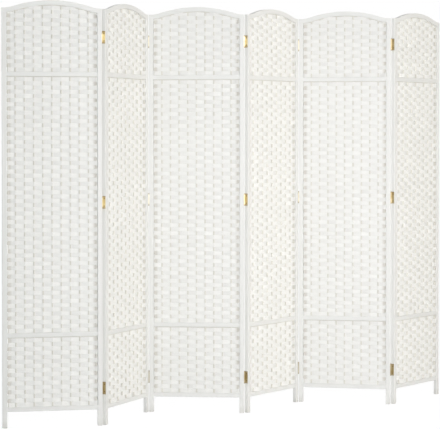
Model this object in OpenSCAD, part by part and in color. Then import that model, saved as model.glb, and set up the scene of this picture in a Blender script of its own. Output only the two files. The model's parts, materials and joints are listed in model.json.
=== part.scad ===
// Accordion folding partition: six framed woven panels joined by butt hinges.
// A panel is drawn flat, with x across it, y through its thickness (the back
// is +y) and z up, and is then set at its place in the zigzag.

/* [Panels] */
// Width of one panel
panel_w = 400; // [390:5:500]
// Height to the crown of the arch
crown_z = 1700; // [1600:10:1900]
// Thickness of the frame
frame_t = 16; // [15:0.5:24]
// Width of a stile, seen from the front
stile_w = 19; // [16:0.5:24]
// Radius on the long edges of the frame timber
edge_r = 2; // [0.5:0.1:2.5]
// Chamfer round the underside of a foot
foot_chamfer = 1.5; // [0.5:0.1:3]

/* [Rails] */
// Depth of the arched top rail
top_rail_h = 18; // [17:1:30]
// Rise of the arch above its flat ends
arch_rise = 31; // [20:1:60]
// Radius of the hollow curve at each end of the arch
hollow_r = 125; // [60:5:200]
// Length of the flat at each end of the top rail
arch_flat = 6; // [4:1:15]
// Height of a cross rail, seen from the front
rail_h = 18; // [17:1:30]
// Thickness of a cross rail
rail_t = 13; // [12:0.5:15]
// Height of the free foot below the bottom rail
foot_h = 65; // [40:1:90]
// Centre height of the lower cross rail
lower_rail_z = 369; // [250:1:500]
// Centre height of the upper cross rail
upper_rail_z = 1407; // [1250:1:1450]

/* [Weave] */
// Distance between the inner warp rods
rod_pitch = 36.5; // [30:0.5:38]
// Diameter of a warp rod
rod_d = 5; // [3:0.5:6]
// Diameter of one paper cord
cord_d = 2.7; // [2:0.1:3]
// Depth to which a rod end is let into the top or bottom rail
rod_seat = 8; // [5:1:12]

/* [Hinges] */
// Height of a hinge leaf
hinge_h = 50; // [40:1:60]
// Centre height of the bottom hinges
bottom_hinge_z = 149; // [120:1:200]
// Centre height of the middle hinges
middle_hinge_z = 895; // [700:1:1000]
// Centre height of the top hinges
top_hinge_z = 1556; // [1480:1:1565]
// Diameter of a hinge barrel
barrel_d = 5.4; // [5:0.1:6]
// Thickness of a leaf
leaf_t = 1; // [0.8:0.1:1.5]
// Reach of a leaf in from the face of the frame
leaf_depth = 15; // [11:0.5:15]
// Distance of the barrel axis out from the face of the frame
axis_out = 0.6; // [0.4:0.1:1.5]
// Gap between two frames when their joint lies flat
joint_gap = 1.6; // [0.6:0.1:2]
// Diameter of a hinge pin
pin_d = 2.4; // [2:0.1:2.8]
// Length of a hinge screw
screw_l = 12; // [10:1:15]

/* [Zigzag] */
// Fold away from flat between panels 1 and 2, in degrees
fold_1 = 55; // [10:1:150]
// Fold away from flat between panels 2 and 3
fold_2 = 72; // [10:1:150]
// Fold away from flat between panels 3 and 4
fold_3 = 61; // [10:1:150]
// Fold away from flat between panels 4 and 5
fold_4 = 67; // [10:1:150]
// Fold away from flat between panels 5 and 6
fold_5 = 66; // [10:1:150]
// Heading of the first panel from the x axis
first_heading = -17; // [-80:1:0]

/* [Hidden] */
panels = 6;
panel_pieces = [
    "left_stile", "right_stile", "top_rail", "cross_rails",
    "woven_infill", "warp_rods", "hinge_screws"
];
hinge_pieces = ["left_leaves", "right_leaves", "pins"];

$fn = 48;
arc_fn = 240;
slack = 1; // how far a cutting solid runs past the face it cuts
paint = [0.93, 0.93, 0.91];
paper = [0.95, 0.94, 0.91];
rod_wood = [0.85, 0.80, 0.68];
brass = [0.72, 0.55, 0.25];

half_w = panel_w / 2;
half_t = frame_t / 2;
opening_x = half_w - stile_w; // half of the opening between the stiles

// The arch is a crown arc and a hollow arc at each end. They are tangent
// where they meet, and each hollow arc runs out level.
arch_end_z = crown_z - arch_rise;
arch_half = half_w - arch_flat;
arc_sum = (arch_half * arch_half + arch_rise * arch_rise) / (2 * arch_rise);
crown_r = arc_sum - hollow_r;
crown_centre_z = crown_z - crown_r;
hollow_centre_z = arch_end_z + hollow_r;
stile_top_z = arch_end_z - top_rail_h;
function meet_x(depth) = (crown_r - depth) * arch_half / arc_sum;
function arch_z(x, depth) = abs(x) < meet_x(depth)
    ? crown_centre_z + sqrt(pow(crown_r - depth, 2) - x * x)
    : hollow_centre_z - sqrt(pow(hollow_r + depth, 2) - pow(arch_half - abs(x), 2));

rail_zs = [foot_h + rail_h / 2, lower_rail_z, upper_rail_z];
tenon = [10, 6, rail_h * 2 / 3]; // of a cross rail
peg_d = frame_t / 2; // round tenon on a stile's top
peg_l = 12;

// The weave swells round each rod and is thin where the cords cross over.
weave_t = rod_d + 2 * cord_d;
crossing_t = 2 * cord_d;
selvage_gap = 0.5; // between the weave's edge and a stile
edge_rod_x = opening_x - weave_t / 2 - selvage_gap;
inner_rod_xs = [for (i = [-4 : 4]) i * rod_pitch];
rod_xs = concat([-edge_rod_x], inner_rod_xs, [edge_rod_x]);

// A hinge has two knuckles on its left leaf and one on its right leaf.
axis_x = half_w + joint_gap / 2;
axis_y = half_t + axis_out;
barrel_r = barrel_d / 2;
knuckle_clearance = 0.3; // on the radius
knuckle_slot_r = barrel_r + knuckle_clearance;
knuckle_gap = 0.2;
knuckle_h = (hinge_h - 2 * knuckle_gap) / 3;
pin_play = 0.04; // on the radius
pin_head_d = barrel_d * 0.8;
pin_head_h = 1.2;
leaf_end_y = half_t - leaf_depth;
screw_y = half_t - leaf_depth * 0.62; // a little nearer the leaf's free edge
screw_offset_z = hinge_h * 0.3;
screw_d = 2.6;
screw_head_d = 4.6;
screw_tip_d = screw_d / 4;
screw_tip_l = screw_d * 1.5;
hinge_zs = [bottom_hinge_z, middle_hinge_z, top_hinge_z];

// Odd joints are ridges, which close on the back edges of their panels, and
// even ones are valleys, which close on the front edges.
folds = [fold_1, fold_2, fold_3, fold_4, fold_5];
function closing_side(joint) = joint % 2 == 1 ? 1 : -1;
function heading(n) =
    n == 1 ? first_heading : heading(n - 1) + closing_side(n - 1) * folds[n - 2];
function turned(p, angle) = [
    p[0] * cos(angle) - p[1] * sin(angle),
    p[0] * sin(angle) + p[1] * cos(angle)
];
function hinge_axis(joint) = panel_centre(joint)
    + turned([axis_x, closing_side(joint) * axis_y], heading(joint));
function panel_centre(n) = n == 1
    ? [0, 0]
    : hinge_axis(n - 1) - turned([-axis_x, closing_side(n - 1) * axis_y], heading(n));

// The whole zigzag is centred on the origin.
corners = [
    for (n = [1 : panels], x = [-half_w, half_w], y = [-half_t, half_t])
        panel_centre(n) + turned([x, y], heading(n))
];
corner_xs = [for (p = corners) p[0]];
corner_ys = [for (p = corners) p[1]];
plan_middle = [
    (min(corner_xs) + max(corner_xs)) / 2,
    (min(corner_ys) + max(corner_ys)) / 2
];

for (joint = [1 : panels - 1])
    echo(joint = joint, axis = hinge_axis(joint) - plan_middle);
for (n = [1 : panels])
    echo(panel = n, centre = panel_centre(n) - plan_middle, heading = heading(n));

module in_panel(n) {
    translate(concat(panel_centre(n) - plan_middle, 0))
        rotate(heading(n))
            children();
}

module centred_box(size) {
    translate(-size / 2)
        cube(size);
}

// Children drawn in the x and z plane, made solid through the thickness.
module through(thickness) {
    rotate([90, 0, 0])
        linear_extrude(thickness, center = true)
            children();
}

module rounded_section(w, t) {
    square([w, t - 2 * edge_r], center = true);
    square([w - 2 * edge_r, t], center = true);
    for (x = [-1, 1], y = [-1, 1])
        translate([x * (w / 2 - edge_r), y * (t / 2 - edge_r)])
            circle(edge_r);
}

// Everything below the arch, taken down by the given depth.
module under_arch(depth) {
    meet = meet_x(depth);
    difference() {
        union() {
            translate([-half_w - slack, 0])
                square([panel_w + 2 * slack, arch_end_z - depth]);
            for (x = [-arch_half, meet])
                translate([x, 0])
                    square([arch_half - meet, hollow_centre_z]);
        }
        for (x = [-1, 1])
            translate([x * arch_half, hollow_centre_z])
                circle(hollow_r + depth, $fn = arc_fn);
    }
    intersection() {
        translate([0, crown_centre_z])
            circle(crown_r - depth, $fn = arc_fn);
        translate([-meet, 0])
            square([2 * meet, crown_z]);
    }
}

// A hinge height on the right edge of a panel, with the barrel at the back.
// The left edge and a barrel at the front are mirror images of it.
module at_hinges(n, edge) {
    joint = edge > 0 ? n : n - 1;
    if (joint >= 1 && joint < panels)
        mirror([edge < 0 ? 1 : 0, 0, 0])
            mirror([0, closing_side(joint) < 0 ? 1 : 0, 0])
                for (z = hinge_zs)
                    translate([0, 0, z])
                        children();
}

module at_screws() {
    for (z = [-screw_offset_z, screw_offset_z])
        translate([half_w, screw_y, z])
            rotate([0, -90, 0])
                children();
}

module at_barrel(z) {
    translate([axis_x, axis_y, z])
        children();
}

// What is cut from a stile for one hinge leaf, its screws and the barrel.
module hinge_pocket() {
    slot_h = hinge_h + 2 * (pin_head_h + knuckle_gap);
    translate([half_w - leaf_t, leaf_end_y, -hinge_h / 2])
        cube([leaf_t + slack, leaf_depth + slack, hinge_h]);
    at_barrel(-slot_h / 2)
        cylinder(r = knuckle_slot_r, h = slot_h);
    at_screws()
        screw();
}

module screw() {
    shank_l = screw_l - screw_tip_l;
    cylinder(d1 = screw_head_d, d2 = screw_d, h = leaf_t);
    cylinder(d = screw_d, h = shank_l);
    translate([0, 0, shank_l])
        cylinder(d1 = screw_d, d2 = screw_tip_d, h = screw_tip_l);
}

// One leaf with its own knuckles, cut clear of those of the other leaf.
module leaf(own_zs, other_zs) {
    clear_h = knuckle_h + 2 * knuckle_gap;
    difference() {
        union() {
            translate([half_w - leaf_t, leaf_end_y, -hinge_h / 2])
                cube([leaf_t, leaf_depth, hinge_h]);
            for (z = own_zs)
                at_barrel(z - knuckle_h / 2)
                    cylinder(r = barrel_r, h = knuckle_h);
        }
        for (z = other_zs)
            at_barrel(z - clear_h / 2)
                cylinder(r = knuckle_slot_r, h = clear_h);
        at_barrel(-hinge_h / 2 - slack)
            cylinder(d = pin_d + 2 * pin_play, h = hinge_h + 2 * slack);
        at_screws()
            screw();
    }
}

module left_leaves(joint) {
    outer_z = (hinge_h - knuckle_h) / 2;
    color(brass)
        in_panel(joint)
            at_hinges(joint, 1)
                leaf([-outer_z, outer_z], [0]);
}

module right_leaves(joint) {
    outer_z = (hinge_h - knuckle_h) / 2;
    color(brass)
        in_panel(joint + 1)
            at_hinges(joint + 1, -1)
                leaf([0], [-outer_z, outer_z]);
}

// A pin rides in the left leaf and has a head at each end.
module pins(joint) {
    color(brass)
        in_panel(joint)
            at_hinges(joint, 1) {
                at_barrel(-hinge_h / 2)
                    cylinder(d = pin_d, h = hinge_h);
                for (end = [0, 1])
                    mirror([0, 0, end])
                        at_barrel(hinge_h / 2)
                            cylinder(d1 = pin_head_d, d2 = pin_d, h = pin_head_h);
            }
}

module hinge_screws(n) {
    color(brass)
        in_panel(n)
            for (edge = [-1, 1])
                at_hinges(n, edge)
                    at_screws()
                        screw();
}

// A stile runs from the floor to the top rail. Its top ends in a round tenon.
module stile(n, edge) {
    color(paint)
        in_panel(n)
            difference() {
                translate([edge * (half_w - stile_w / 2), 0, 0])
                    difference() {
                        union() {
                            linear_extrude(stile_top_z)
                                rounded_section(stile_w, frame_t);
                            cylinder(d = peg_d, h = stile_top_z + peg_l);
                        }
                        foot_bevels();
                    }
                for (z = rail_zs)
                    translate([0, 0, z])
                        rail_tenons();
                at_hinges(n, edge)
                    hinge_pocket();
            }
}

module foot_bevels() {
    cut = foot_chamfer * sqrt(2);
    for (x = [-stile_w / 2, stile_w / 2])
        translate([x, 0, 0])
            rotate([0, 45, 0])
                centred_box([cut, 2 * frame_t, cut]);
    for (y = [-half_t, half_t])
        translate([0, y, 0])
            rotate([45, 0, 0])
                centred_box([2 * stile_w, cut, cut]);
}

module rail_tenons() {
    centred_box([2 * (opening_x + tenon[0]), tenon[1], tenon[2]]);
}

module cross_rails(n) {
    color(paint)
        in_panel(n)
            difference() {
                for (z = rail_zs)
                    translate([0, 0, z]) {
                        rotate([0, 90, 0])
                            linear_extrude(2 * opening_x, center = true)
                                rounded_section(rail_h, rail_t);
                        rail_tenons();
                    }
                rods();
            }
}

// The top rail follows the arch above and below, and its ends are squared
// off on the stiles.
module top_rail(n) {
    color(paint)
        in_panel(n)
            difference() {
                intersection() {
                    through(frame_t)
                        difference() {
                            under_arch(0);
                            opening_under_arch();
                        }
                    linear_extrude(crown_z + slack)
                        rounded_section(panel_w, frame_t);
                }
                for (x = [-1, 1])
                    translate([x * (half_w - stile_w / 2), 0, stile_top_z])
                        cylinder(d = peg_d, h = peg_l);
                rods();
            }
}

module opening_under_arch() {
    difference() {
        under_arch(top_rail_h);
        for (x = [-half_w - slack, opening_x])
            translate([x, stile_top_z])
                square([stile_w + slack, top_rail_h]);
    }
}

// Warp rods stand in the bottom rail, pass through the middle two rails and
// end in the top rail.
module rods() {
    foot_z = foot_h + rail_h - rod_seat;
    for (x = rod_xs)
        translate([x, 0, foot_z])
            cylinder(d = rod_d, h = arch_z(x, top_rail_h) + rod_seat - foot_z);
}

module warp_rods(n) {
    color(rod_wood)
        in_panel(n)
            rods();
}

// The weave's swelling on one side of a rod, out to where the cords cross.
module half_swelling(reach) {
    r = (reach * reach + pow(weave_t / 2, 2)) / weave_t;
    intersection() {
        translate([0, weave_t / 2 - r])
            circle(r, $fn = arc_fn);
        translate([0, r - weave_t / 2])
            circle(r, $fn = arc_fn);
        translate([0, -half_t])
            square([reach, frame_t]);
    }
}

module weave_section() {
    for (i = [0 : len(rod_xs) - 2]) {
        reach = (rod_xs[i + 1] - rod_xs[i]) / 2;
        translate([rod_xs[i], 0])
            half_swelling(reach);
        translate([rod_xs[i + 1], 0])
            mirror([1, 0])
                half_swelling(reach);
    }
    for (x = [-edge_rod_x, edge_rod_x])
        translate([x, 0])
            circle(d = weave_t);
    square([2 * edge_rod_x, crossing_t], center = true);
}

module woven_infill(n) {
    floors = [for (z = rail_zs) z + rail_h / 2];
    ceilings = [rail_zs[1] - rail_h / 2, rail_zs[2] - rail_h / 2, crown_z];
    color(paper)
        in_panel(n)
            difference() {
                intersection() {
                    for (i = [0 : 2])
                        translate([0, 0, floors[i]])
                            linear_extrude(ceilings[i] - floors[i])
                                weave_section();
                    through(frame_t)
                        under_arch(top_rail_h);
                }
                rods();
            }
}

for (n = [1 : panels]) {
    name = str("panel_", n);
    stile(n, -1);
    stile(n, 1);
    top_rail(n);
    cross_rails(n);
    woven_infill(n);
    warp_rods(n);
    hinge_screws(n);
}
for (joint = [1 : panels - 1]) {
    name = str("hinge_", joint);
    left_leaves(joint);
    right_leaves(joint);
    pins(joint);
}
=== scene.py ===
import json
import math

import bpy
import numpy as np
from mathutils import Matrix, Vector

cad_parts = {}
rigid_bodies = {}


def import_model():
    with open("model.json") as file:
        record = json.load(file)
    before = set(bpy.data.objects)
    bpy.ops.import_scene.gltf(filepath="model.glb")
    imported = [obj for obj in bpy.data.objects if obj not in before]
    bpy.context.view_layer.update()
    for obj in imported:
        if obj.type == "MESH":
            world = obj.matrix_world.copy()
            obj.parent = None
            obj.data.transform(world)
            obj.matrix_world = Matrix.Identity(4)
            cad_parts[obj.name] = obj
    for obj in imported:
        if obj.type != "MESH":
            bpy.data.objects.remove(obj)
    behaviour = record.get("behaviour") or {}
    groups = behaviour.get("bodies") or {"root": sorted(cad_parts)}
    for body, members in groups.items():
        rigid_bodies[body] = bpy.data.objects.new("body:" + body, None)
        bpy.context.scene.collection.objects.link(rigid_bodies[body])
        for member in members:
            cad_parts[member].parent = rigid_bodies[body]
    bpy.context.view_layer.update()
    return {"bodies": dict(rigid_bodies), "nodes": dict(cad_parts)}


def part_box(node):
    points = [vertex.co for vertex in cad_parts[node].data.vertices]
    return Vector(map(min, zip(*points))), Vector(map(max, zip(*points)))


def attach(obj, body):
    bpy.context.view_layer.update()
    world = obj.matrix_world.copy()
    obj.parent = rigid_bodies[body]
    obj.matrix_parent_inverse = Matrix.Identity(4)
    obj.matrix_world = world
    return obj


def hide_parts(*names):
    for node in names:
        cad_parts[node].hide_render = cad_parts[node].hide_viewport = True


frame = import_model()
panelCount = sum(name.startswith("panel_") for name in frame["bodies"])
print(f"frame: {panelCount} panels, {len(frame['nodes'])} CAD nodes")

# The photograph's camera, fitted to the outlines of the panels
camera = {
    "place": (-3.9187, -6.9983, 1.153),
    "heading": 28.76,  # degrees, from +Y towards +X
    "pitch": -1.214,
    "roll": 0.021,
    "lens": 155.62,  # mm
    "sensorWidth": 36,  # mm
    "centreRow": 178.24,  # pixel row of the lens axis in the photograph
    "picture": (440, 429),
    "farEnd": 60,  # nothing beyond this is drawn
}


def makeCamera():
    data = bpy.data.cameras.new("viewCamera")
    data.lens = camera["lens"]
    data.sensor_width = camera["sensorWidth"]
    width, height = camera["picture"]
    data.shift_y = (camera["centreRow"] - height / 2) / width
    data.clip_end = camera["farEnd"]
    eye = bpy.data.objects.new("viewCamera", data)
    eye.location = camera["place"]
    eye.rotation_euler = (
        math.radians(90 + camera["pitch"]),
        math.radians(camera["roll"]),
        -math.radians(camera["heading"]),
    )
    bpy.context.scene.collection.objects.link(eye)
    bpy.context.scene.camera = eye


makeCamera()
print("camera set")


# How like parts are told apart in the CAD's nodes
reading = {
    "rodGap": 0.01,  # neighbours further apart than this belong to different rods, and so on
    "railGap": 0.05,
    "leafGap": 0.1,
    "screwGap": 0.003,
    "downward": -0.3,  # a face whose normal's z is less is on the underside of the arch
    "edge": 0.95,  # share of the rail's half depth from which a point is on its front or back edge
}


def splitAtGaps(rows, gap, along=None):
    # Parts sorted rows wherever neighbours lie further apart than the gap
    along = rows if along is None else along
    return np.split(rows, np.flatnonzero(np.diff(along) > gap) + 1)


class Panel:
    # One panel's own axes: x across it, y towards its back, z up
    def __init__(self, number):
        self.name = f"panel_{number}"
        left, right = (
            sum(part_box(f"{self.name}_{side}_stile"), Vector()) / 2 for side in ("left", "right")
        )
        middle = (left + right) / 2
        across = right - left
        self.centre = np.array((middle.x, middle.y, 0.0))
        self.heading = math.atan2(across.y, across.x)
        cos, sin = math.cos(self.heading), math.sin(self.heading)
        self.turn = np.array(((cos, -sin, 0), (sin, cos, 0), (0, 0, 1)))

    def toFrame(self, points):
        return points @ self.turn.T + self.centre

    def ownPoints(self, part):
        mesh = frame["nodes"][f"{self.name}_{part}"].data
        points = np.empty(len(mesh.vertices) * 3)
        mesh.vertices.foreach_get("co", points)
        return (points.reshape(-1, 3) - self.centre) @ self.turn

    def rods(self):
        # Where the rods stand across the panel, and their radius
        xs = np.unique(self.ownPoints("warp_rods")[:, 0].round(5))
        found = splitAtGaps(xs, reading["rodGap"])
        middles = np.array([(rod[0] + rod[-1]) / 2 for rod in found])
        return middles, (found[0][-1] - found[0][0]) / 2

    def railGaps(self):
        # (floor, ceiling) of each woven field; the last has the arch above it
        zs = np.unique(self.ownPoints("cross_rails")[:, 2].round(5))
        rails = splitAtGaps(zs, reading["railGap"])
        tops = [rail[-1] for rail in rails]
        return list(zip(tops, [rail[0] for rail in rails[1:]] + [None]))

    def archUnderside(self):
        # The line of the top rail's lower edge, from left to right
        points = self.ownPoints("top_rail")
        faces = frame["nodes"][f"{self.name}_top_rail"].data.polygons
        below = {v for f in faces if f.normal.z < reading["downward"] for v in f.vertices}
        points = points[sorted(below)]
        depths = np.abs(points[:, 1])
        points = points[depths > reading["edge"] * depths.max()]
        points = points[np.argsort(points[:, 0])]
        return points[:, 0], points[:, 2]


panels = [Panel(number + 1) for number in range(panelCount)]
print("panel headings:", [round(math.degrees(p.heading), 2) for p in panels])


def linear(hexColour):
    channels = [int(hexColour[i : i + 2], 16) / 255 for i in (1, 3, 5)]
    return [c / 12.92 if c <= 0.04045 else ((c + 0.055) / 1.055) ** 2.4 for c in channels] + [1.0]


def addNode(tree, kind, settings=None, links=None):
    node = tree.nodes.new("ShaderNode" + kind)
    for key, value in (settings or {}).items():
        if key == "stops":  # the places and colours of a ramp's two stops
            for stop, (place, colour) in zip(node.color_ramp.elements, value):
                stop.position, stop.color = place, linear(colour)
        elif isinstance(key, int) or key in node.inputs:
            node.inputs[key].default_value = value
        else:
            setattr(node, key, value)
    for key, source in (links or {}).items():
        tree.links.new(source, node.inputs[key])
    return node


def newMaterial(name, settings):
    material = bpy.data.materials.new(name)
    material.use_nodes = True
    tree = material.node_tree
    shader = tree.nodes["Principled BSDF"]
    for key, value in settings.items():
        shader.inputs[key].default_value = value
    return material, tree, shader


def paint(node, material):
    slots = node.material_slots
    if not slots:
        node.data.materials.append(material)
    for slot in slots:
        slot.material = material


softArris = {"segments": 3, "fromAngle": 40}  # degrees by which an edge has to turn


def softenArris(node, radius):
    # Sanding, paint or tumbling rounds off the sharp edges of the CAD's solid
    bevel = node.modifiers.new("softArris", "BEVEL")
    bevel.width = radius
    bevel.segments = softArris["segments"]
    bevel.limit_method = "ANGLE"
    bevel.angle_limit = math.radians(softArris["fromAngle"])
    bevel.harden_normals = True


# The frames: pine, brushed with white satin paint
pinePaint = {
    "fresh": "#EAEAE9",
    "thin": "#E3E3E0",  # where the grain shows through
    "scuffed": "#D2D0CA",
    "scuffHeight": 0.03,  # above the floor
    "grainWidth": 0.0016,
    "grainLength": 0.11,
    "grainDepth": 0.00012,
    "grainStops": (0.25, 0.6),  # of the grain's noise, where it is all thin and all fresh
    "brushWidth": 0.0007,
    "brushShare": 0.35,  # depth of the brush marks, as a share of the grain's
    "blotchSize": 1 / 9,  # of the patches in the gloss and the scuffs
    "roughness": (0.36, 0.5),
    "arris": 0.0018,  # radius of the top rail's rounded edges
}


def paintedPine(name, heading, along):
    # Brushed satin lacquer: a soft broad highlight, with pine grain just felt under it
    material, tree, shader = newMaterial(name, {"IOR": 1.5})
    place = addNode(tree, "TexCoord").outputs["Object"]
    wide, long = 1 / pinePaint["grainWidth"], 1 / pinePaint["grainLength"]
    scale = (long, wide, wide) if along == "x" else (wide, wide, long)
    brushScale = [s * pinePaint["grainWidth"] / pinePaint["brushWidth"] for s in scale]
    squared = addNode(
        tree, "Mapping", {"Rotation": (0, 0, -heading)}, {"Vector": place}
    ).outputs["Vector"]
    grainPlace = addNode(tree, "Mapping", {"Scale": scale}, {"Vector": squared}).outputs["Vector"]
    grain = addNode(
        tree, "TexNoise",
        {"Scale": 1.0, "Detail": 4.0, "Roughness": 0.6, "Distortion": 0.5}, {"Vector": grainPlace},
    ).outputs["Fac"]
    brushPlace = addNode(
        tree, "Mapping", {"Scale": brushScale}, {"Vector": squared}
    ).outputs["Vector"]
    brush = addNode(
        tree, "TexNoise", {"Scale": 1.0, "Detail": 2.0}, {"Vector": brushPlace}
    ).outputs["Fac"]
    blotch = addNode(
        tree, "TexNoise", {"Scale": 1 / pinePaint["blotchSize"], "Detail": 3.0}, {"Vector": place}
    ).outputs["Fac"]

    thinStop, freshStop = pinePaint["grainStops"]
    body = addNode(
        tree, "ValToRGB",
        {"stops": [(thinStop, pinePaint["thin"]), (freshStop, pinePaint["fresh"])]}, {"Fac": grain},
    ).outputs["Color"]
    height = addNode(tree, "SeparateXYZ", links={"Vector": place}).outputs["Z"]
    low = addNode(
        tree, "MapRange", {"From Min": pinePaint["scuffHeight"], "From Max": 0.0}, {"Value": height}
    ).outputs["Result"]
    scuff = addNode(tree, "Math", {"operation": "MULTIPLY"}, {0: low, 1: blotch}).outputs["Value"]
    colour = addNode(
        tree, "MixRGB", {"Color2": linear(pinePaint["scuffed"])}, {"Fac": scuff, "Color1": body}
    ).outputs["Color"]
    tree.links.new(colour, shader.inputs["Base Color"])

    glossy, matt = pinePaint["roughness"]
    rough = addNode(
        tree, "MapRange", {"To Min": glossy, "To Max": matt}, {"Value": blotch}
    ).outputs["Result"]
    tree.links.new(rough, shader.inputs["Roughness"])
    relief = addNode(
        tree, "Math", {"operation": "MULTIPLY_ADD", 1: pinePaint["brushShare"]}, {0: brush, 2: grain}
    ).outputs["Value"]
    bump = addNode(
        tree, "Bump", {"Strength": 0.5, "Distance": pinePaint["grainDepth"]}, {"Height": relief}
    ).outputs["Normal"]
    tree.links.new(bump, shader.inputs["Normal"])
    return material


def paintFrames():
    upright = paintedPine("paintedPineUpright", 0.0, "z")
    for panel in panels:
        level = paintedPine(f"paintedPineLevel_{panel.name}", panel.heading, "x")
        for part in ("left_stile", "right_stile"):
            paint(frame["nodes"][f"{panel.name}_{part}"], upright)
        for part in ("top_rail", "cross_rails"):
            paint(frame["nodes"][f"{panel.name}_{part}"], level)
        softenArris(frame["nodes"][f"{panel.name}_top_rail"], pinePaint["arris"])


paintFrames()
print("frames painted")


# The rods: turned hardwood, bleached
rodWood = {"light": "#ECEAE4", "dark": "#E2DFD7", "grainWidth": 0.0008, "grainLength": 0.05}


def bleachedWood():
    # Dowels limed pale to go with the cords: matt, with a fine straight grain
    material, tree, shader = newMaterial("bleachedHardwood", {"Roughness": 0.6, "IOR": 1.5})
    place = addNode(tree, "TexCoord").outputs["Object"]
    wide, long = 1 / rodWood["grainWidth"], 1 / rodWood["grainLength"]
    mapped = addNode(
        tree, "Mapping", {"Scale": (wide, wide, long)}, {"Vector": place}
    ).outputs["Vector"]
    grain = addNode(
        tree, "TexNoise", {"Scale": 1.0, "Detail": 3.0}, {"Vector": mapped}
    ).outputs["Fac"]
    colour = addNode(
        tree, "ValToRGB",
        {"stops": [(0.3, rodWood["dark"]), (0.65, rodWood["light"])]}, {"Fac": grain},
    ).outputs["Color"]
    tree.links.new(colour, shader.inputs["Base Color"])
    bump = addNode(
        tree, "Bump", {"Strength": 0.4, "Distance": 0.0001}, {"Height": grain}
    ).outputs["Normal"]
    tree.links.new(bump, shader.inputs["Normal"])
    return material


rodMaterial = bleachedWood()
for panel in panels:
    paint(frame["nodes"][f"{panel.name}_warp_rods"], rodMaterial)
print("rods finished")


# The hinges: pressed brass, lacquered
hingeBrass = {
    "polished": "#E9E0C2",
    "handled": "#D2C49E",
    # the darker colour of the painted reflections and painted shade below
    "tarnished": "#87765A",
    "cloudSize": 0.03,
    "cloudStops": (0.38, 0.6),  # of the clouds' noise, where it is all handled and all polished
    "roughness": (0.42, 0.24),  # from handled to polished
    "rollingWidth": 0.0004,  # of the fine lines left by rolling the sheet
    "rollingLength": 0.02,
    "rollingDepth": 0.00004,
    "ends": (0.015, 0.026),  # distances from a leaf's middle between which painted shade darkens its ends
    "endShare": 0.85,  # of the darker colour at the ends, as painted shade
    "damp": (0.16, 0.9),  # heights between which a painted dark reflection, strongest low down, fades out
    "dampShare": 0.45,  # of the darker colour of that painted reflection, at the lower height
    "handling": (0.1, 0.2, 0.05, 0.2, 0.42),  # how far the hinges of each joint are darkened, as a painted dark reflection
    "mist": "#EDEBE3",  # white paint blown onto the brass
    "misted": (0, 0.6, 0, 0.45, 0),  # its share on the hinges of each joint
    "arris": 0.00015,
}


def hingeHeights():
    # The middles of the leaves on one joint, which all joints share
    mesh = frame["nodes"]["hinge_1_left_leaves"].data
    zs = np.unique([round(v.co.z, 5) for v in mesh.vertices])
    return [float(leaf[0] + leaf[-1]) / 2 for leaf in splitAtGaps(zs, reading["leafGap"])]


def fromNearestLeaf(tree, height):
    # The distance in height from the middle of the nearest leaf
    away = None
    for middle in hingeHeights():
        offset = addNode(
            tree, "Math", {"operation": "SUBTRACT", 1: middle}, {0: height}
        ).outputs["Value"]
        offset = addNode(tree, "Math", {"operation": "ABSOLUTE"}, {0: offset}).outputs["Value"]
        if away is not None:
            offset = addNode(
                tree, "Math", {"operation": "MINIMUM"}, {0: away, 1: offset}
            ).outputs["Value"]
        away = offset
    return away


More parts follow.
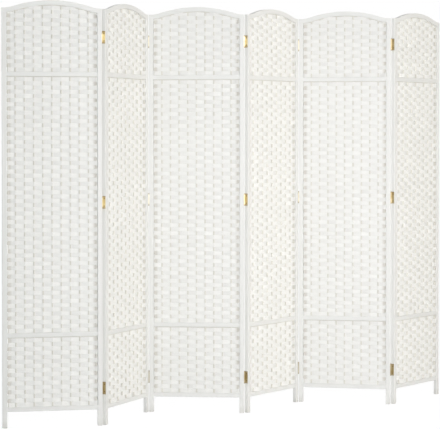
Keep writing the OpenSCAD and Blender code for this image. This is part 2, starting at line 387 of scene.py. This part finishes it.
def brassWithPaintedShade(joint):
    # Rolled and pressed brass, lacquered: pale gold with fine upright lines, and misted with paint
    # where the fold hides it. It is browner near the floor and on some joints, as a painted dark
    # reflection, and at the ends of each leaf, as painted shade
    material, tree, shader = newMaterial(f"lacqueredBrass_{joint}", {"Metallic": 1.0})
    place = addNode(tree, "TexCoord").outputs["Object"]
    cloud = addNode(
        tree, "TexNoise",
        {"Scale": 1 / hingeBrass["cloudSize"], "Detail": 3.0, "Roughness": 0.5}, {"Vector": place},
    ).outputs["Fac"]
    handledStop, polishedStop = hingeBrass["cloudStops"]
    stops = [(handledStop, hingeBrass["handled"]), (polishedStop, hingeBrass["polished"])]
    bright = addNode(tree, "ValToRGB", {"stops": stops}, {"Fac": cloud}).outputs["Color"]
    mist = {"Fac": hingeBrass["misted"][joint - 1], "Color2": linear(hingeBrass["mist"])}
    bright = addNode(tree, "MixRGB", mist, {"Color1": bright}).outputs["Color"]

    height = addNode(tree, "SeparateXYZ", links={"Vector": place}).outputs["Z"]
    # Painted dark reflection, strongest on the hinges near the floor
    low, high = hingeBrass["damp"]
    damp = addNode(
        tree, "MapRange",
        {"From Min": high, "From Max": low, "To Max": hingeBrass["dampShare"]}, {"Value": height},
    ).outputs["Result"]
    # Painted shade at the ends of each leaf
    near, far = hingeBrass["ends"]
    ends = addNode(
        tree, "MapRange", {"From Min": near, "From Max": far, "To Max": hingeBrass["endShare"]},
        {"Value": fromNearestLeaf(tree, height)},
    ).outputs["Result"]
    # Painted dark reflection, set for each joint, joined with the painted darkening above
    worn = addNode(
        tree, "Math", {"operation": "MAXIMUM", 1: hingeBrass["handling"][joint - 1]}, {0: damp}
    ).outputs["Value"]
    brassShading = addNode(tree, "Math", {"operation": "MAXIMUM"}, {0: worn, 1: ends}).outputs["Value"]
    colour = addNode(
        tree, "MixRGB", {"Color2": linear(hingeBrass["tarnished"])}, {"Fac": brassShading, "Color1": bright}
    ).outputs["Color"]
    tree.links.new(colour, shader.inputs["Base Color"])

    dullest, glossiest = hingeBrass["roughness"]
    rough = addNode(
        tree, "MapRange", {"To Min": dullest, "To Max": glossiest}, {"Value": cloud}
    ).outputs["Result"]
    tree.links.new(rough, shader.inputs["Roughness"])
    wide, long = 1 / hingeBrass["rollingWidth"], 1 / hingeBrass["rollingLength"]
    rolled = addNode(
        tree, "Mapping", {"Scale": (wide, wide, long)}, {"Vector": place}
    ).outputs["Vector"]
    lines = addNode(
        tree, "TexNoise", {"Scale": 1.0, "Detail": 2.0}, {"Vector": rolled}
    ).outputs["Fac"]
    bump = addNode(
        tree, "Bump", {"Strength": 0.3, "Distance": hingeBrass["rollingDepth"]}, {"Height": lines}
    ).outputs["Normal"]
    tree.links.new(bump, shader.inputs["Normal"])
    return material


for joint in range(1, panelCount):
    brassMaterial = brassWithPaintedShade(joint)
    for part in ("left_leaves", "right_leaves", "pins"):
        node = frame["nodes"][f"hinge_{joint}_{part}"]
        paint(node, brassMaterial)
        softenArris(node, hingeBrass["arris"])
print("hinges finished")


# Countersunk wood screws with a cross recess
screws = {
    "segments": 48,
    "headRings": (0.06, 0.13, 0.19, 0.27, 0.4, 0.55, 0.62, 0.68, 0.85, 0.97),  # shares of its radius
    "dome": 0.0002,  # how far the head rises above its leaf
    "armWidth": 0.0008,  # of the recess
    "armLength": 0.0030,
    "armSlope": 0.0001,  # width of the recess's sloping walls
    "endSlope": 0.0004,
    "recessDepth": 0.0009,
    "shankShare": 0.55,  # of the head's radius
    "threadStart": 0.0016,  # below the leaf's face
    "threadPitch": 0.0012,
    "threadDepth": 0.0003,
    "ringsPerTurn": 4,  # of the thread
    "pointStart": 0.72,  # share of the length from which the screw thins
    "pointThinness": 20,  # how many times thinner than the shank it ends
    "seed": 73,
    "plated": "#A08D66",
    "worn": "#6E6047",
}


def platedSteel():
    # Brass-plated steel, worn dull by the driver: darker and browner than the leaves
    material, tree, shader = newMaterial("platedSteel", {"Metallic": 1.0})
    place = addNode(tree, "TexCoord").outputs["Object"]
    wear = addNode(
        tree, "TexNoise", {"Scale": 1 / screws["armLength"], "Detail": 4.0}, {"Vector": place}
    ).outputs["Fac"]
    stops = [(0.35, screws["worn"]), (0.65, screws["plated"])]
    colour = addNode(tree, "ValToRGB", {"stops": stops}, {"Fac": wear}).outputs["Color"]
    tree.links.new(colour, shader.inputs["Base Color"])
    rough = addNode(
        tree, "MapRange", {"To Min": 0.55, "To Max": 0.3}, {"Value": wear}
    ).outputs["Result"]
    tree.links.new(rough, shader.inputs["Roughness"])
    return material


def findScrews(panel):
    # (side, head's place, head's radius, length) of each screw in this panel's edges
    cad = panel.ownPoints("hinge_screws")
    found = []
    for side in (-1, 1):
        mine = cad[cad[:, 0] * side > 0]
        mine = mine[np.argsort(mine[:, 2])]
        for one in splitAtGaps(mine, reading["screwGap"], mine[:, 2]):
            if len(one):
                low, high = one.min(axis=0), one.max(axis=0)
                reach = np.abs(one[:, 0])
                place = (reach.max(), (low[1] + high[1]) / 2, (low[2] + high[2]) / 2)
                found.append((side, place, (high[2] - low[2]) / 2, reach.max() - reach.min()))
    return found


def headRings(headRadius, around):
    # The domed head with its cross recess, as (radius, depth) of its rings from the middle out
    rings = []
    for share in screws["headRings"]:
        radius = share * headRadius
        across, up = np.abs(radius * np.cos(around)), np.abs(radius * np.sin(around))
        fromSide = screws["armWidth"] / 2 - np.minimum(across, up)
        fromEnd = screws["armLength"] / 2 - np.maximum(across, up)
        inArm = np.clip(fromSide / screws["armSlope"] + 0.5, 0, 1)
        inArm *= np.clip(fromEnd / screws["endSlope"] + 0.5, 0, 1)
        rings.append((radius, inArm * screws["recessDepth"] - screws["dome"] * (1 - share**2)))
    return rings


def shankRings(headRadius, length):
    # The rim of the head, the neck, and a threaded shank that thins to a point
    shank = headRadius * screws["shankShare"]
    perTurn = screws["ringsPerTurn"]
    start, point = screws["threadStart"], length * screws["pointStart"]
    rings = [(headRadius, screws["dome"] / 2), (shank, start / 2)]
    for i in range(int((length - start) / screws["threadPitch"] * perTurn)):
        depth = start + i * screws["threadPitch"] / perTurn
        crest = screws["threadDepth"] * (0.5 + 0.5 * math.cos(2 * math.pi * i / perTurn))
        thinned = min(1, (length - depth) / (length - point))
        rings.append(((shank - screws["threadDepth"] + crest) * thinned, depth))
    return rings + [(shank / screws["pointThinness"], length)]


def makeScrews(panel, material, rng):
    count = screws["segments"]
    k = np.arange(count)
    after = (k + 1) % count
    around = 2 * math.pi * k / count
    points, faces = [], []
    made = 0
    for side, (reach, back, height), headRadius, length in findScrews(panel):
        turned = around + rng.uniform(0, math.pi / 2)
        rings = headRings(headRadius, around) + shankRings(headRadius, length)
        for radius, depth in rings:
            across, up = radius * np.cos(turned), radius * np.sin(turned)
            ring = (side * (reach - depth) + 0 * k, back + across, height + up)
            points.append(np.stack(ring, -1))
        first = made + np.arange(len(rings) - 1)[:, None] * count
        corners = (first + k, first + after, first + count + after, first + count + k)
        faces += np.stack(corners, -1).reshape(-1, 4)[:, ::-side].tolist()
        faces.append((made + k)[::side].tolist())
        made += len(rings) * count
    mesh = bpy.data.meshes.new(f"{panel.name}_screws")
    mesh.from_pydata(panel.toFrame(np.concatenate(points)), [], faces, shade_flat=False)
    mesh.materials.append(material)
    piece = bpy.data.objects.new(mesh.name, mesh)
    bpy.context.scene.collection.objects.link(piece)
    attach(piece, panel.name)
    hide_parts(f"{panel.name}_hinge_screws")


screwMaterial = platedSteel()
for number, panel in enumerate(panels):
    makeScrews(panel, screwMaterial, np.random.default_rng(screws["seed"] + number))
print("screws driven")


# The weave: bands of paper cords that go over and under the rods
weave = {
    "rowHeight": 0.0167,  # one band of cords, as counted in the photograph
    "ceilingGap": 0.003,  # slit below a rail: a straight cord lies in it, as a fine dark line, darkened with painted shade
    "cordsPerRow": 6,
    "fit": 0.985,  # how much of its share of the band a cord fills
    "thickness": 0.04,  # how much it swells and thins
    "thicknessRings": 5,  # over this many rings
    "sides": 8,  # of a cord's section, an even number
    "steps": (0, 0.05, 0.15, 0.5, 0.85, 0.95),  # rings on the way from one rod to the next
    "tautness": 0.96,  # near 1 the cords run straight between rods, and at 0 they swing evenly
    "play": 0.02,  # how unevenly the rows hug the rods
    "stepsPerTurn": 7,  # rings round a rod at the selvage
    "turnShape": 0.42,  # 1 is a round turn, and less is squarer
    "turnReach": 1.1,  # how far it bulges towards the stile, as a share of a round turn
    "spread": 0.05,  # how much a band opens where it passes over a rod
    "drift": 0.00012,  # how far a cord strays from true
    "driftRings": (9, 5),  # over this many rings, in height and in depth
    "tone": (0.62, 0.22),  # mean and spread of the cords' tones, from 0, warm, to 1, light
    "sprayed": (0.0026, 0.0042),  # distances from a rod's middle between which the painted shade gives way to the full colour
    "selvage": 0.006,  # width of the strip by a stile, in from the end rod, where cords turn
    "rowsPerPiece": 24,
    "tuck": 0.004,  # length of a cut cord hidden in the arch
    "pinch": 0.009,  # length over which it closes in on the groove that it enters
    "pinchTo": 0.25,  # share of its swing that is left there
    "archSamples": 200,  # across half the arch, when its width is looked up
    "bindingRings": 48,  # along a straight cord below a rail
    "bindingTone": 0.5,
    "seed": 5291,
}

fieldNames = ("lower", "middle", "upper")
partLetters = "abc"  # of a field that is split into pieces, from below

paperCord = {
    "light": "#FDFDFC",
    "warm": "#FBFBF9",
    # painted shade in the seam of the twist
    "groove": "#F3F2EF",
    "bare": "#E2DFD9",  # painted shade, on the sides of the cords that face a rod and in the turns by the stiles
    "layLength": 0.0085,  # one turn of the twisted paper
    "strands": 2,
    "seam": (-1.0, -0.2),  # heights of the twist's wave between which its seam opens
    "seamShare": 0.45,  # of the painted shade's colour, in the seam
    "twistDepth": 0.00022,
    "fibre": 0.0006,
    "fibreShare": 0.3,  # depth of the fibres, as a share of the twist's
}

shadedBindingCord = dict(paperCord, light="#E6E5E0", warm="#E1DFD9", groove="#D2CFC7")  # the binding's: darker, as painted shade for the dark line along each rail


def twistedPaper(name, cord):
    # Twisted kraft paper, sprayed white for the weave and darker for the binding, as painted shade
    # for the dark line along each rail: matt and dry, with the seam of the twist winding round each
    # cord. Painted shade also darkens the seam and the sides of the cords that face a rod
    settings = {"Roughness": 0.82, "IOR": 1.5, "Specular IOR Level": 0.3}
    material, tree, shader = newMaterial(name, settings)
    place = addNode(tree, "TexCoord").outputs["Object"]
    layPlace = addNode(tree, "UVMap", {"uv_map": "cordLay"}).outputs["UV"]
    lay = addNode(tree, "SeparateXYZ", links={"Vector": layPlace}).outputs
    turns = addNode(
        tree, "Math",
        {"operation": "MULTIPLY_ADD", 1: 1 / cord["layLength"]}, {0: lay["X"], 2: lay["Y"]},
    ).outputs["Value"]
    phase = addNode(
        tree, "Math", {"operation": "MULTIPLY", 1: 2 * math.pi * cord["strands"]}, {0: turns}
    ).outputs["Value"]
    wave = addNode(tree, "Math", {"operation": "SINE"}, {0: phase}).outputs["Value"]
    low, high = cord["seam"]
    ridge = addNode(
        tree, "MapRange",
        {"From Min": low, "From Max": high, "interpolation_type": "SMOOTHSTEP"}, {"Value": wave},
    ).outputs["Result"]
    fibre = addNode(
        tree, "TexNoise", {"Scale": 1 / cord["fibre"], "Detail": 2.0}, {"Vector": place}
    ).outputs["Fac"]

    tone = addNode(tree, "Attribute", {"attribute_name": "cordTone"}).outputs["Fac"]
    stops = [(0.0, cord["warm"]), (1.0, cord["light"])]
    sprayed = addNode(tree, "ValToRGB", {"stops": stops}, {"Fac": tone}).outputs["Color"]
    # Painted shade on the sides of the cords that face a rod and in the turns by the stiles
    clearOfShade = addNode(tree, "Attribute", {"attribute_name": "sprayCover"}).outputs["Fac"]
    body = addNode(
        tree, "MixRGB", {"Color1": linear(cord["bare"])}, {"Fac": clearOfShade, "Color2": sprayed}
    ).outputs["Color"]
    # Painted shade in the seam of the twist
    seamShading = addNode(
        tree, "MapRange", {"To Min": cord["seamShare"], "To Max": 0.0}, {"Value": ridge}
    ).outputs["Result"]
    colour = addNode(
        tree, "MixRGB", {"Color2": linear(cord["groove"])}, {"Fac": seamShading, "Color1": body}
    ).outputs["Color"]
    tree.links.new(colour, shader.inputs["Base Color"])

    relief = addNode(
        tree, "Math", {"operation": "MULTIPLY_ADD", 1: cord["fibreShare"]}, {0: fibre, 2: ridge}
    ).outputs["Value"]
    bump = addNode(
        tree, "Bump", {"Strength": 0.6, "Distance": cord["twistDepth"]}, {"Height": relief}
    ).outputs["Normal"]
    tree.links.new(bump, shader.inputs["Normal"])
    return material


def crossing(rods, swing, side):
    # One row of the weave in plan: over and under the rods, from the first rod to the last
    t = np.array(weave["steps"])
    tautness = weave["tautness"]
    sway = np.arcsin(tautness * np.cos(math.pi * t)) / math.asin(tautness)
    xs = [a + (b - a) * t for a, b in zip(rods, rods[1:])]
    ys = [side * (-1) ** i * swing * sway for i in range(len(rods) - 1)]
    last = side * (-1) ** (len(rods) - 1) * swing
    return np.append(np.concatenate(xs), rods[-1]), np.append(np.concatenate(ys), last)


def sweep(path, radii):
    # A tube's rings along a path that is never upright
    along = np.gradient(path, axis=0)
    along /= np.linalg.norm(along, axis=1)[:, None]
    up = np.array((0, 0, 1)) - along * along[:, 2:]
    up /= np.linalg.norm(up, axis=1)[:, None]
    out = np.cross(along, up)
    angles = 2 * math.pi * np.arange(weave["sides"]) / weave["sides"]
    ring = up[:, None] * np.cos(angles)[:, None] + out[:, None] * np.sin(angles)[:, None]
    return path[:, None] + ring * radii[:, None, None]


def sprayCover(points, rods):
    # Painted shade: the sides of the cords that face a rod, and the turns beside the stiles, take a
    # darker colour; this gives 0 there and 1 in the open
    if rods is None:
        return np.ones(len(points))
    nearest = rods[np.abs(points[:, :1] - rods).argmin(axis=1)]
    away = np.hypot(points[:, 0] - nearest, points[:, 1])
    turning = np.abs(points[:, 0]) > rods[-1] - weave["selvage"]
    away[turning] = np.abs(points[turning, 1])
    inner, outer = weave["sprayed"]
    return np.clip((away - inner) / (outer - inner), 0, 1)


bakeMargin = 0.08  # left clear on each side of a strip in the bake's map, as a share of its width


class CordMesh:
    # Gathers swept cords into one mesh, with the maps that its material reads
    def __init__(self):
        self.points, self.faces, self.lay, self.bake, self.tone = [], [], [], [], []
        self.count = 0

    def add(self, path, radii, tone, strip, along):
        # strip and along say where each ring lies in the bake's map: the number of its strip,
        # and its share of the strip's length
        sides = weave["sides"]
        rings = len(path)
        self.points.append(sweep(path, radii).reshape(-1, 3))
        self.tone.append(np.repeat(tone, sides))

        i = np.arange(rings - 1)[:, None]
        k = np.arange(sides)[None]
        after = (k + 1) % sides
        here, there = i * sides, (i + 1) * sides
        quads = np.stack((here + k, there + k, there + after, here + after), -1)
        self.faces.append(quads.reshape(-1, 4) + self.count)

        steps = np.linalg.norm(np.diff(path, axis=0), axis=1)
        length = np.concatenate(([0], np.cumsum(steps)))
        u = np.stack((length[i], length[i + 1], length[i + 1], length[i]), -1)
        v = np.stack((k, k, k + 1, k + 1), -1) / sides
        self.lay.append(np.stack(np.broadcast_arrays(u, v), -1).reshape(-1, 2))

        endAlong = along[1:].copy()
        endAlong[endAlong == 0] = 1.0  # the end of one strip, not the start of the next
        begin, end = along[:-1, None], endAlong[:, None]
        bakeU = np.stack((begin, end, end, begin), -1)
        bakeV = strip[:-1, None, None] + bakeMargin + (1 - 2 * bakeMargin) * v
        self.bake.append(np.stack(np.broadcast_arrays(bakeU, bakeV), -1).reshape(-1, 2))

        # Both ends are closed by a fan of quads
        fan = np.array([(0, i, i + 1, i + 2) for i in range(1, sides - 2, 2)])
        ends = (
            (0, np.arange(sides)[::-1], along[0], strip[0]),
            ((rings - 1) * sides, np.arange(sides), endAlong[-1], strip[-2]),
        )
        for first, order, share, number in ends:
            self.faces.append(order[fan] + first + self.count)
            self.lay.append(np.zeros((fan.size, 2)))
            self.bake.append(np.tile((share, number + 0.5), (fan.size, 1)))
        self.count += rings * sides

    def build(self, name, panel, rods=None):
        points = np.concatenate(self.points)
        mesh = bpy.data.meshes.new(name)
        faces = np.concatenate(self.faces)
        mesh.from_pydata(panel.toFrame(points), [], faces, shade_flat=False)
        lay = mesh.uv_layers.new(name="cordLay")
        lay.uv.foreach_set("vector", np.concatenate(self.lay).astype(np.float32).ravel())
        bake = np.concatenate(self.bake)
        bake[:, 1] /= math.ceil(bake[:, 1].max())
        strips = mesh.uv_layers.new(name="OFBake")
        strips.uv.foreach_set("vector", bake.astype(np.float32).ravel())
        mesh.uv_layers.active = lay
        tone = mesh.attributes.new("cordTone", "FLOAT", "POINT")
        tone.data.foreach_set("value", np.concatenate(self.tone).astype(np.float32))
        # Painted shade: how far each point lies out of it
        clearOfShade = mesh.attributes.new("sprayCover", "FLOAT", "POINT")
        clearOfShade.data.foreach_set("value", sprayCover(points, rods).astype(np.float32))
        piece = bpy.data.objects.new(name, mesh)
        bpy.context.scene.collection.objects.link(piece)
        return piece


def smoothNoise(rng, count, every):
    # A value that wanders between -1 and 1 along a cord, with a new aim every few rings
    aims = rng.uniform(-1, 1, count // every + 2)
    return np.interp(np.arange(count) / every, np.arange(len(aims)), aims)


def oneRow(row, cord, floor, pitch, rods, swing, rng):
    # The height of a cord's row, and its points as [across, deep, high, tone]
    cords = weave["cordsPerRow"]
    z = floor + (row + (cord + 0.5) / cords) * pitch
    side = 1 if row % 2 else -1
    xs, ys = crossing(rods, swing * (1 + weave["play"] * rng.uniform(-1, 1)), side)
    overRod = np.abs(ys) / swing
    opened = (cord + 0.5 - cords / 2) / cords * pitch * weave["spread"] * overRod
    inHeight, inDepth = weave["driftRings"]
    zs = z + opened + weave["drift"] * smoothNoise(rng, len(xs), inHeight)
    ys = ys + weave["drift"] * smoothNoise(rng, len(xs), inDepth)
    tone = np.full(len(xs), np.clip(rng.normal(*weave["tone"]), 0, 1))
    return z, [xs, ys, zs, tone]


def turnRound(end, rods, swing, points, following):
    # From one row round its end rod to the next row, where end is 0 or -1
    arc = np.linspace(0, math.pi, weave["stepsPerTurn"] + 1)[1:-1]
    rise = (1 - np.cos(arc)) / 2
    shape = weave["turnShape"]
    outward = 1 if end else -1
    xs, ys, zs, tone = points
    return [
        rods[end] + outward * swing * weave["turnReach"] * np.sin(arc) ** shape,
        ys[end] * np.sign(np.cos(arc)) * np.abs(np.cos(arc)) ** shape,
        zs[end] + (following[2][end] - zs[end]) * rise,
        tone[end] + (following[3][end] - tone[end]) * rise,
    ]


def archReach(ceiling, z, limit):
    # Half the width of the opening at height z, under the arch
    xs = np.linspace(0, limit, weave["archSamples"])
    inside = xs[ceiling(xs) > z]
    return inside[-1] if len(inside) else 0.0


def cutRow(points, reach):
    # A row that ends in the arch's groove at both sides
    xs = points[0]
    pinch = weave["pinch"]
    ends = reach + np.array((-pinch, 0, weave["tuck"]))
    cutXs = np.sort(np.concatenate((xs[np.abs(xs) < ends[0]], ends, -ends)))
    cut = [cutXs] + [np.interp(cutXs, xs, v) for v in points[1:]]
    cut[1] *= np.interp(reach - np.abs(cutXs), (0, pinch), (weave["pinchTo"], 1))
    return cut


def layRun(made, run, radius, strip, rng):
    # Sweeps rows that follow each other as one cord, with a strip of the bake's map for each
    path = np.stack([np.concatenate([part[i] for part in run]) for i in range(3)], -1)
    tone = np.concatenate([part[3] for part in run])
    uneven = smoothNoise(rng, len(path), weave["thicknessRings"])
    radii = radius * (1 + weave["thickness"] * uneven)
    counts = [len(part[0]) for part in run]
    strips = np.repeat(strip + np.arange(len(run)), counts).astype(float)
    along = np.concatenate([np.arange(count) / count for count in counts])
    made.add(path, radii, tone, strips, along)


def weaveRows(name, panel, firstRow, rowCount, floor, pitch, rods, rodRadius, ceiling, rng):
    # Each of a band's cords runs to and fro through these rows and turns round the end rods.
    # A row that the arch cuts is laid by itself.
    radius = pitch / weave["cordsPerRow"] / 2 * weave["fit"]
    swing = rodRadius + radius
    topmost = math.inf if ceiling is None else ceiling(abs(rods[-1]))
    made = CordMesh()
    strip = 0
    for cord in range(weave["cordsPerRow"]):
        numbers = range(firstRow, firstRow + rowCount)
        rows = [oneRow(row, cord, floor, pitch, rods, swing, rng) for row in numbers]
        run = []
        for row, (z, points) in zip(numbers, rows):
            if z + radius > topmost:
                if run:
                    layRun(made, run, radius, strip, rng)
                    strip += len(run)
                    run = []
                reach = archReach(ceiling, z, rods[-1])
                if reach > weave["pinch"] * 2:
                    layRun(made, [cutRow(points, reach)], radius, strip, rng)
                    strip += 1
                continue
            backwards = row % 2 == 1
            run.append([v[::-1] if backwards else v for v in points])
            if row < numbers[-1]:
                nextZ, following = rows[row - firstRow + 1]
                if nextZ + radius <= topmost:
                    turn = turnRound(0 if backwards else -1, rods, swing, points, following)
                    run[-1] = [np.concatenate(pair) for pair in zip(run[-1], turn)]
        if run:
            layRun(made, run, radius, strip, rng)
            strip += len(run)
    return finishCords(made, name, panel, paperMaterial, rods)


def finishCords(made, name, panel, material, rods=None):
    piece = made.build(name, panel, rods)
    piece.data.materials.append(material)
    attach(piece, panel.name)
    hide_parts(f"{panel.name}_woven_infill")
    return len(piece.data.polygons)


def bindEdges(panel, rods, swing, bindings, rng):
    # A straight cord fills each slit between the weave and the rail above it, and one follows
    # the arch
    made = CordMesh()
    radius = weave["ceilingGap"] / 2
    xs = np.linspace(rods[0] - swing, rods[-1] + swing, weave["bindingRings"])
    lows = [np.full(len(xs), low) for low in bindings]
    archXs, archZs = panel.archUnderside()
    lows.append(np.interp(xs, archXs, archZs) - 2 * radius)
    tone = np.full(len(xs), weave["bindingTone"])
    for strip, low in enumerate(lows):
        layRun(made, [[xs, 0 * xs, low + radius, tone]], radius, strip, rng)
    return finishCords(made, f"{panel.name}_binding", panel, bindingMaterial)


def weavePanel(panel, rng):
    rods, rodRadius = panel.rods()
    archXs, archZs = panel.archUnderside()
    total = 0
    bindings = []  # heights of the slits below the cross rails
    for field, (floor, top) in enumerate(panel.railGaps()):
        arched = top is None
        ceiling = (lambda x: np.interp(x, archXs, archZs)) if arched else None
        top = (archZs.max() if arched else top) - weave["ceilingGap"]
        if not arched:
            bindings.append(top)
        height = top - floor
        rows = round(height / weave["rowHeight"])
        pitch = height / rows
        parts = math.ceil(rows / weave["rowsPerPiece"])
        first = 0
        for part in range(parts):
            count = (rows - first) // (parts - part)
            name = f"{panel.name}_weave_{fieldNames[field]}"
            if parts > 1:
                name += partLetters[part]
            total += weaveRows(
                name, panel, first, count, floor, pitch, rods, rodRadius, ceiling, rng
            )
            first += count
    total += bindEdges(panel, rods, 2 * rodRadius, bindings, rng)
    print(f"{panel.name}: {len(rods)} rods, {total} weave faces")


paperMaterial = twistedPaper("sprayedPaperCord", paperCord)
bindingMaterial = twistedPaper("rawPaperCord", shadedBindingCord)
for number, panel in enumerate(panels):
    weavePanel(panel, np.random.default_rng(weave["seed"] + number))


# The floor, the world and the lamps
studio = {
    "floorSize": 30,
    "floorColour": "#EDEDED",
    "floorShadow": 0.07,  # share of the floor's look that takes shadows
    "floorLit": 0.45,  # of white, what that share has in the open
    "ambient": 0.4,
    "lamps": {
        "leftKey": {
            "place": (-4.0, -6.0, 2.2), "aim": (0.9, 0, 0.95), "size": 3.0, "spread": 70,
            "power": 11.5, "colour": "#EEFFFB",
        },
        "rightKey": {
            "place": (8.0, -6.5, 2.0), "aim": (0.5, 0, 0.95), "size": 3.0, "spread": 180,
            "power": 137, "colour": "#FFFAE0",
        },
        "leftFill": {
            "place": (-1.5, -3.2, 1.2), "aim": (-0.5, 0, 0.95), "size": 2.0, "spread": 180,
            "power": 15, "colour": "#FDFDFF",
        },
        "middleFill": {
            "place": (0, -3.2, 1.2), "aim": (0.7, 0, 0.95), "size": 2.0, "spread": 110,
            "power": 18, "colour": "#FFF9F8",
        },
        "backFill": {
            "place": (0, 6.0, 2.5), "aim": (0, 0, 0.95), "size": 4.0, "spread": 180,
            "power": 90, "colour": "#FFFFFF",
        },
    },
}


def whiteForView(tree):
    # 1 where the camera, a reflection or a view through glass meets the background
    path = addNode(tree, "LightPath").outputs
    seen = addNode(
        tree, "Math", {"operation": "MAXIMUM"}, {0: path["Is Camera Ray"], 1: path["Is Glossy Ray"]}
    ).outputs["Value"]
    return addNode(
        tree, "Math", {"operation": "MAXIMUM"}, {0: seen, 1: path["Is Transmission Ray"]}
    ).outputs["Value"]


def makeWorld():
    world = bpy.data.worlds.new("studioWorld")
    bpy.context.scene.world = world
    world.use_nodes = True
    tree = world.node_tree
    strength = addNode(
        tree, "MapRange", {"To Min": studio["ambient"], "To Max": 1.0}, {"Value": whiteForView(tree)}
    ).outputs["Result"]
    background = tree.nodes["Background"]
    background.inputs["Color"].default_value = (1, 1, 1, 1)
    tree.links.new(strength, background.inputs["Strength"])


def sweepPaper():
    # Matt background paper, rolled out flat: plain white to the eye, with a trace of shadow
    material = bpy.data.materials.new("mattBackgroundPaper")
    material.use_nodes = True
    tree = material.node_tree
    tree.nodes.remove(tree.nodes["Principled BSDF"])
    matt = addNode(tree, "BsdfDiffuse", {"Color": linear(studio["floorColour"])}).outputs["BSDF"]
    share = studio["floorShadow"]
    strength = (1 - share * studio["floorLit"]) / (1 - share)
    plain = addNode(
        tree, "Emission", {"Color": (1, 1, 1, 1), "Strength": strength}
    ).outputs["Emission"]
    seen = addNode(tree, "MixShader", {"Fac": share}, {1: plain, 2: matt}).outputs["Shader"]
    both = addNode(
        tree, "MixShader", {}, {"Fac": whiteForView(tree), 1: matt, 2: seen}
    ).outputs["Shader"]
    tree.links.new(both, tree.nodes["Material Output"].inputs["Surface"])
    return material


def makeFloor():
    half = studio["floorSize"] / 2
    corners = [(-half, -half, 0), (half, -half, 0), (half, half, 0), (-half, half, 0)]
    mesh = bpy.data.meshes.new("studioFloor")
    mesh.from_pydata(corners, [], [(0, 1, 2, 3)])
    mesh.materials.append(sweepPaper())
    floor = bpy.data.objects.new("studioFloor", mesh)
    bpy.context.scene.collection.objects.link(floor)


def makeLamps():
    for name, lamp in studio["lamps"].items():
        data = bpy.data.lights.new(name, "AREA")
        data.size = lamp["size"]
        data.spread = math.radians(lamp["spread"])
        data.energy = lamp["power"]
        data.color = linear(lamp["colour"])[:3]
        holder = bpy.data.objects.new(name, data)
        holder.location = lamp["place"]
        aim = Vector(lamp["aim"]) - Vector(lamp["place"])
        holder.rotation_euler = aim.to_track_quat("-Z", "Y").to_euler()
        holder.visible_camera = False
        bpy.context.scene.collection.objects.link(holder)


makeWorld()
makeFloor()
makeLamps()
bpy.context.scene.view_settings.view_transform = "Standard"
print("studio lit")
